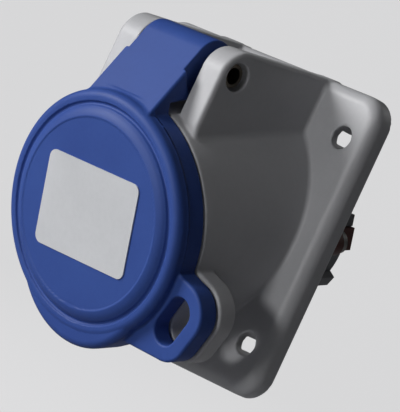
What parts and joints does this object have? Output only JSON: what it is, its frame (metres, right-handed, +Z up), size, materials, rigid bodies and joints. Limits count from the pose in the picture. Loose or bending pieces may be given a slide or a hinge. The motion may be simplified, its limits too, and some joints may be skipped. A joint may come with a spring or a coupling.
{
  "type": "angled industrial panel socket",
  "caption": "Square-flanged panel socket with a tilted round snout, a sprung hinged lid over the plug well, sleeve contacts and rear screw terminals.",
  "frame": {"origin": "centre of the flange's back face, in the middle of the four panel screws", "axes": "+Z up, the socket looks toward -Y and its plug axis points 20 degrees down, +Y into the panel, +X to the right as seen from the front"},
  "size_m": [0.0754, 0.0762, 0.0804],
  "materials": {
    "grey_moulding": "fine satin moulding, light grey",
    "blue_moulding": "satin moulding, signal blue",
    "brown_moulding": "satin moulding, red-brown",
    "carrier_moulding": "satin moulding, mid grey",
    "black_rubber": "matt elastomer",
    "label_foil": "matt printed foil, left bare",
    "pin_steel": "zinc plated tube",
    "spring_steel": "drawn spring steel",
    "screw_steel": "zinc plated",
    "contact_brass": "bright turned brass"
  },
  "bodies": {
    "base": {"housing": "grey_moulding", "flange": "grey_moulding", "hinge_cheeks": "grey_moulding", "lock_eyelet": "grey_moulding", "flange_gasket": "black_rubber", "hinge_pin": "pin_steel", "lid_spring": "spring_steel", "insert_face": "brown_moulding", "insert_barrel": "brown_moulding", "insert_tubes": "brown_moulding", "insert_plate": "brown_moulding", "terminal_carrier": "carrier_moulding", "insert_screws": "screw_steel", "contact_l1": "contact_brass", "contact_n": "contact_brass", "contact_pe": "contact_brass", "contact_ring_l1": "spring_steel", "contact_ring_n": "spring_steel", "contact_ring_pe": "spring_steel", "wire_leaf_l1": "spring_steel", "wire_leaf_n": "spring_steel", "wire_leaf_pe": "spring_steel", "terminal_screws": "screw_steel"},
    "lid": {"lid": "blue_moulding", "lid_seal": "black_rubber", "label_plate": "label_foil"}
  },
  "joints": [
    {"name": "lid_hinge", "type": "hinge", "parent": "base", "child": "lid", "pos_m": [0, -0.033, 0.0277], "axis": [-1, 0, 0], "range_deg": [0, 105], "stiffness_Nm_per_rad": 0.02, "springref_deg": -57.3, "deforming": ["lid_spring"]}
  ]
}
